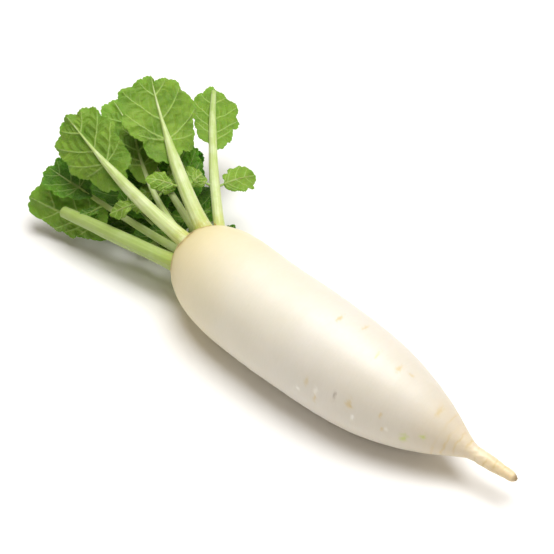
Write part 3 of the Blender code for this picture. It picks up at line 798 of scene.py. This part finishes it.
def make_blade(name, midline, blade, cells, skin, small, seed, petiole=None):
    """A closed thin sheet over the blade's surface, with raised veins outside and grooves inside."""
    across, down = np.meshgrid(np.linspace(-1, 1, cells + 1), np.linspace(-1, 1, cells + 1), indexing="ij")
    reach, angle = square_to_disc(np.column_stack([across.ravel(), down.ravel()]))
    points, facing, strength, flat = blade_surface(midline, blade, reach, angle, small, seed)
    rows = points.reshape(cells + 1, cells + 1, 3)
    normals = np.cross(np.gradient(rows, axis=0), np.gradient(rows, axis=1)).reshape(-1, 3)
    normals = unit(normals + 1e-9) * np.sign((normals * facing).sum(axis=1))[:, None]
    half = 0.12 + 0.13 * (1.0 - reach ** 8)
    rib = strength * (0.55 if not small else 0.35)
    outer = points + normals * (half + rib)[:, None]
    inner = points - normals * (half - 0.45 * rib)[:, None]
    count = len(points)
    corner = np.arange(count).reshape(cells + 1, cells + 1)
    quads = np.stack([corner[:-1, :-1], corner[1:, :-1], corner[1:, 1:], corner[:-1, 1:]], axis=-1)
    quads = quads.reshape(-1, 4)
    first = quads[len(quads) // 2]
    corners = outer[first]
    turned = np.cross(corners[1] - corners[0], corners[2] - corners[0]) @ facing[first[0]] < 0
    upper, under = (quads[:, ::-1], quads) if turned else (quads, quads[:, ::-1])
    border = np.concatenate([corner[:, 0], corner[-1, 1:], corner[-2::-1, -1], corner[0, -2:0:-1]])
    following = np.roll(border, -1)
    sides = np.column_stack([border, border + count, following + count, following])
    if turned:
        sides = sides[:, ::-1]
    faces = upper.tolist() + (under + count).tolist() + sides.tolist()
    sheet = np.column_stack([flat, np.full(count, seed * 40.0)]) * MM
    # A band along the rim that the skin paints lighter: painted light on the curled margins.
    edge = 0.35 * smoothstep(0.93, 1.0, reach)
    vertices = np.vstack([outer, inner])
    layers = {"vein": np.concatenate([strength, 0.75 * strength]), "outer": np.repeat((1.0, 0.0), count),
              "edge": np.tile(edge, 2), "sheet": np.vstack([sheet, sheet])}
    if petiole is not None:
        tube, tube_faces = petiole_tube(midline, petiole, len(vertices))
        vertices = np.vstack([vertices, tube])
        faces += tube_faces
        added = len(tube)
        layers = {"vein": np.concatenate([layers["vein"], np.full(added, 0.7)]),
                  "outer": np.concatenate([layers["outer"], np.ones(added)]),
                  "edge": np.concatenate([layers["edge"], np.zeros(added)]),
                  "sheet": np.vstack([layers["sheet"], tube * MM])}
    piece = mesh_object(name + "_skin", vertices, faces, layers, skin)
    adopt(piece, "leaf_blade", name)


def petiole_tube(midline, base, first):
    """A leaflet's thin rib, from inside the stalk to most of the way along the leaflet."""
    sides, rings = 12, 40
    run = np.linspace(-base, midline.length * 0.86, rings)
    place, _, normal, sideways, _ = midline.at(run)
    radius = np.interp(run / midline.length, (-0.2, 0.0, 0.3, 0.86), (1.0, 0.85, 0.6, 0.15))
    turn = np.linspace(0.0, 2 * np.pi, sides, endpoint=False)
    circle = sideways[:, None, :] * np.cos(turn)[None, :, None]
    circle = circle + normal[:, None, :] * np.sin(turn)[None, :, None]
    points = place[:, None, :] + radius[:, None, None] * circle
    points = np.vstack([points.reshape(-1, 3), place[0], place[-1]])
    faces = skin_faces(rings, sides, first)
    faces += fan_faces(first, sides, first + rings * sides, True)
    faces += fan_faces(first + (rings - 1) * sides, sides, first + rings * sides + 1, False)
    return points, faces


def make_leaf(leaf, seed, stalk, sheet):
    midline = Midline(stalk_line(leaf), leaf["face"])
    if "blade" in leaf and leaf["thick"][1] < 1.5:
        into = (midline.run - leaf["blade"]["start"]) / (midline.length - leaf["blade"]["start"])
        midline.rows[:, 3] *= np.interp(into, (-0.3, 0.0, 0.35, 1.0), (1.0, 0.82, 0.42, 0.30))
    make_stalk(leaf, midline, stalk)
    if "blade" in leaf:
        make_blade(leaf["name"] + "_blade", midline, leaf["blade"], BLADE_CELLS, sheet, False, seed)
    for number, leaflet in enumerate(leaf.get("leaflets", ()), 1):
        own, blade = leaflet_parts(midline, leaflet)
        make_blade(f"{leaf['name']}_leaflet_{number}", own, blade, LEAFLET_CELLS, sheet, True,
                   seed + number, petiole=3.0)


# ---- crown ----

def make_crown_scales(skin):
    """Dry brown scales left by older leaves, standing round the bases of the stalks."""
    random = np.random.default_rng(12)
    rows = root_line(ROOT_RINGS)
    ring = rows[np.searchsorted(rows[:, 0], CROWN_X + SCALES_AT)]
    points, faces = [], []
    for number in range(SCALES):
        turn = 2 * np.pi * (number + random.uniform(-0.3, 0.3)) / SCALES
        size = random.uniform(2.2, 4.6)
        base = ring[:3]
        out = np.array((0.0, math.cos(turn), math.sin(turn)))
        side = np.array((0.0, -math.sin(turn), math.cos(turn)))
        lean = np.array((-1.0, 0.0, 0.0)) + out * random.uniform(-0.25, 0.35)
        lean += side * random.uniform(-0.7, 0.7)
        lean /= np.linalg.norm(lean)
        wide = random.uniform(0.7, 1.5)
        own = []
        for i in range(7):
            t = i / 6
            for j in range(-2, 3):
                width = wide * (1.0 - t ** 1.5) * j / 2
                curl = 0.5 * t * t - 0.12 * j * j
                own.append(base + out * (ring[3] + curl) + lean * size * t + side * width)
        start = sum(len(group) for group in points)
        points.append(np.array(own))
        points.append(np.array(own) - out * 0.22)
        quads = [(start + 5 * i + j, start + 5 * i + j + 1, start + 5 * i + j + 6, start + 5 * i + j + 5)
                 for i in range(6) for j in range(4)]
        under = [tuple(index + 35 for index in quad[::-1]) for quad in quads]
        border = [*range(0, 5), *range(9, 35, 5), *range(33, 29, -1), *range(25, 0, -5)]
        sides = [(start + b, start + a, start + a + 35, start + b + 35)
                 for a, b in zip(border, border[1:] + border[:1])]
        faces += quads + under + sides
    piece = mesh_object("crown_scales", np.vstack(points), faces, {}, skin)
    adopt(piece, "root_skin")


# ---- studio ----

def make_floor():
    made, tree, shader = new_material("studio_floor")
    place = node(tree, "ShaderNodeTexCoord").outputs["Object"]
    colour = ramp(tree, noise(tree, place, 3.0, 2.0), ((0.0, (0.95, 0.95, 0.95)), (1.0, (0.97, 0.97, 0.97))))
    tree.links.new(colour, shader.inputs["Base Color"])
    shader.inputs["Roughness"].default_value = 0.9
    shader.inputs["Specular IOR Level"].default_value = 0.0
    size = 4000.0
    points = [(-size, -size, -0.3), (size, -size, -0.3), (size, size, -0.3), (-size, size, -0.3)]
    mesh_object("floor", points, [(0, 1, 2, 3)], {}, made)


def area_light(name, place, target, size, power, colour=(1.0, 1.0, 1.0)):
    data = bpy.data.lights.new(name, "AREA")
    data.shape = "RECTANGLE"
    data.size, data.size_y = size
    data.energy = power
    data.color = colour
    light = bpy.data.objects.new(name, data)
    light.location = place
    light.rotation_euler = (Vector(target) - Vector(place)).to_track_quat("-Z", "Y").to_euler()
    bpy.context.scene.collection.objects.link(light)


def make_studio():
    make_floor()
    scene = bpy.context.scene
    world = bpy.data.worlds.new("studio")
    world.use_nodes = True
    world.node_tree.nodes["Background"].inputs["Color"].default_value = (1.0, 0.86, 0.68, 1.0)
    world.node_tree.nodes["Background"].inputs["Strength"].default_value = 0.30
    scene.world = world
    scene.view_settings.view_transform = "Standard"
    scene.view_settings.look = "None"
    middle = (-0.03, 0.01, 0.0)
    area_light("key", (0.0, 0.20, 1.40), middle, (1.1, 1.1), 26.0)
    camera = bpy.data.objects.new("camera", bpy.data.cameras.new("camera"))
    camera.data.lens = 100.0
    camera.data.sensor_width = 36.0
    camera.data.clip_start = 0.05
    azimuth, elevation, distance = math.radians(45.5), math.radians(42.0), 1.077
    target = Vector((-0.065, 0.0337, 0.0323))
    back = Vector((math.sin(azimuth) * math.cos(elevation), -math.cos(azimuth) * math.cos(elevation),
                   math.sin(elevation)))
    camera.location = target + back * distance
    camera.rotation_euler = (math.radians(90.0) - elevation, 0.0, azimuth)
    scene.collection.objects.link(camera)
    scene.camera = camera


make_studio()
adopt(make_root(root_skin()), "root_skin", "taproot")
stalk_material, blade_material = stalk_skin(), blade_skin()
for order, leaf in enumerate(LEAVES):
    make_leaf(leaf, 7 * order + 3, stalk_material, blade_material)
make_crown_scales(husk_skin())
